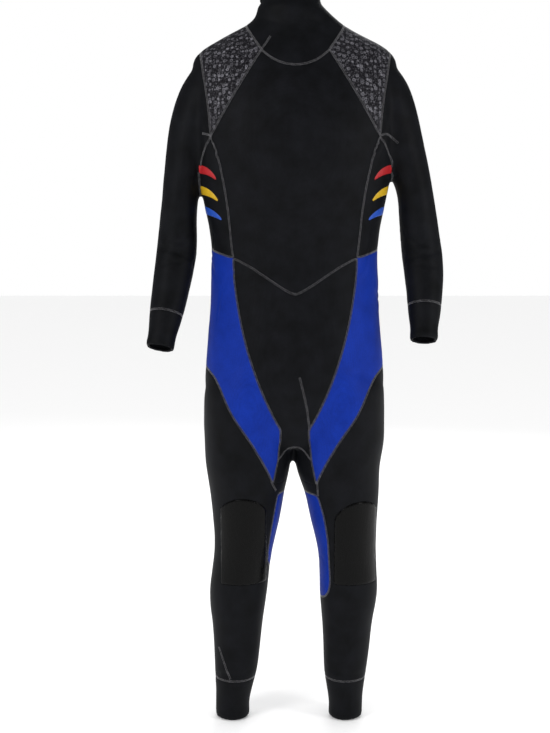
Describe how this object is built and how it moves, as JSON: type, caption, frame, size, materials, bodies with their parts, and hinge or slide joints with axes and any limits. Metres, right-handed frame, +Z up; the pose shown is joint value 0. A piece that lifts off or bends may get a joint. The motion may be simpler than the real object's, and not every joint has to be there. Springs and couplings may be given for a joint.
{
  "type": "full wetsuit",
  "caption": "Full-length back-zip wetsuit in worn shape: panelled torso, sleeves and legs, with bending elbows and knees.",
  "frame": {"origin": "centre of the neck opening, level with the collar's rim", "axes": "+Z up along the spine, -Y the wearer's front, +X the wearer's left"},
  "size_m": [0.6011, 0.2543, 1.512],
  "materials": {
    "black_neoprene": "nylon jersey on foam neoprene, matt",
    "blue_neoprene": "nylon jersey on foam neoprene, matt",
    "printed_neoprene": "jersey printed with a small grey motif",
    "smooth_rubber": "smooth rubber, satin",
    "red_print": "screen print",
    "yellow_print": "screen print",
    "blue_print": "screen print",
    "zip_tape": "woven polyester",
    "zip_plastic": "moulded acetal",
    "zip_slider": "coated, satin",
    "hook_and_loop": "napped nylon"
  },
  "bodies": {
    "suit_body": {"belly_panel": "black_neoprene", "chest_panel": "black_neoprene", "collar": "black_neoprene", "crotch_gusset": "black_neoprene", "left_back_panel": "black_neoprene", "left_blue_flash": "blue_print", "left_elbow_section": "black_neoprene", "left_hip_panel": "blue_neoprene", "left_inner_leg_panel": "blue_neoprene", "left_knee_pad": "smooth_rubber", "left_knee_section": "black_neoprene", "left_red_flash": "red_print", "left_shoulder_panel": "printed_neoprene", "left_side_panel": "black_neoprene", "left_thigh_panel": "black_neoprene", "left_upper_sleeve": "black_neoprene", "left_yellow_flash": "yellow_print", "left_zip_tape": "zip_tape", "left_zip_teeth": "zip_plastic", "right_back_panel": "black_neoprene", "right_blue_flash": "blue_print", "right_elbow_section": "black_neoprene", "right_hip_panel": "blue_neoprene", "right_inner_leg_panel": "blue_neoprene", "right_knee_pad": "smooth_rubber", "right_knee_section": "black_neoprene", "right_red_flash": "red_print", "right_shoulder_panel": "printed_neoprene", "right_side_panel": "black_neoprene", "right_thigh_panel": "black_neoprene", "right_upper_sleeve": "black_neoprene", "right_yellow_flash": "yellow_print", "right_zip_tape": "zip_tape", "right_zip_teeth": "zip_plastic", "seat_panel": "black_neoprene", "tab_foot": "black_neoprene", "tab_loop_patch": "hook_and_loop", "zip_flap": "black_neoprene", "zip_stops": "zip_plastic"},
    "collar_tab_body": {"collar_tab": "black_neoprene", "tab_hook_patch": "hook_and_loop"},
    "left_shin": {"left_ankle_cuff": "black_neoprene", "left_shin_panel": "black_neoprene"},
    "left_forearm": {"left_forearm_sleeve": "black_neoprene", "left_wrist_cuff": "black_neoprene"},
    "right_shin": {"right_ankle_cuff": "black_neoprene", "right_shin_panel": "black_neoprene"},
    "right_forearm": {"right_forearm_sleeve": "black_neoprene", "right_wrist_cuff": "black_neoprene"},
    "zip_pull_body": {"zip_pull": "zip_slider"},
    "zip_slider_body": {"zip_slider": "zip_slider"}
  },
  "joints": [
    {"name": "left_elbow", "type": "hinge", "parent": "suit_body", "child": "left_forearm", "pos_m": [0.265, -0.012, -0.502], "axis": [-1, 0, 0], "range_deg": [0, 110], "stiffness_Nm_per_rad": 0.15, "deforming": ["left_elbow_section"]},
    {"name": "left_knee", "type": "hinge", "parent": "suit_body", "child": "left_shin", "pos_m": [0.118, -0.014, -1.13], "axis": [1, 0, 0], "range_deg": [0, 110], "stiffness_Nm_per_rad": 0.4, "deforming": ["left_knee_section", "left_inner_leg_panel", "left_knee_pad"]},
    {"name": "right_elbow", "type": "hinge", "parent": "suit_body", "child": "right_forearm", "pos_m": [-0.231, -0.012, -0.502], "axis": [-1, 0, 0], "range_deg": [0, 110], "stiffness_Nm_per_rad": 0.15, "deforming": ["right_elbow_section"]},
    {"name": "right_knee", "type": "hinge", "parent": "suit_body", "child": "right_shin", "pos_m": [-0.097, -0.014, -1.13], "axis": [1, 0, 0], "range_deg": [0, 110], "stiffness_Nm_per_rad": 0.4, "deforming": ["right_knee_section", "right_inner_leg_panel", "right_knee_pad"]},
    {"name": "zip_slide", "type": "slide", "parent": "suit_body", "child": "zip_slider_body", "axis": [0, 0, -1], "range_m": [0, 0.41]},
    {"name": "pull_hinge", "type": "hinge", "parent": "zip_slider_body", "child": "zip_pull_body", "pos_m": [0.008, 0.09775, -0.1275], "axis": [1, 0, 0], "range_deg": [0, 160]},
    {"name": "tab_peel", "type": "hinge", "parent": "suit_body", "child": "collar_tab_body", "pos_m": [0.03947, 0.04704, -0.0125], "axis": [0, 0, -1], "range_deg": [0, 110]}
  ]
}
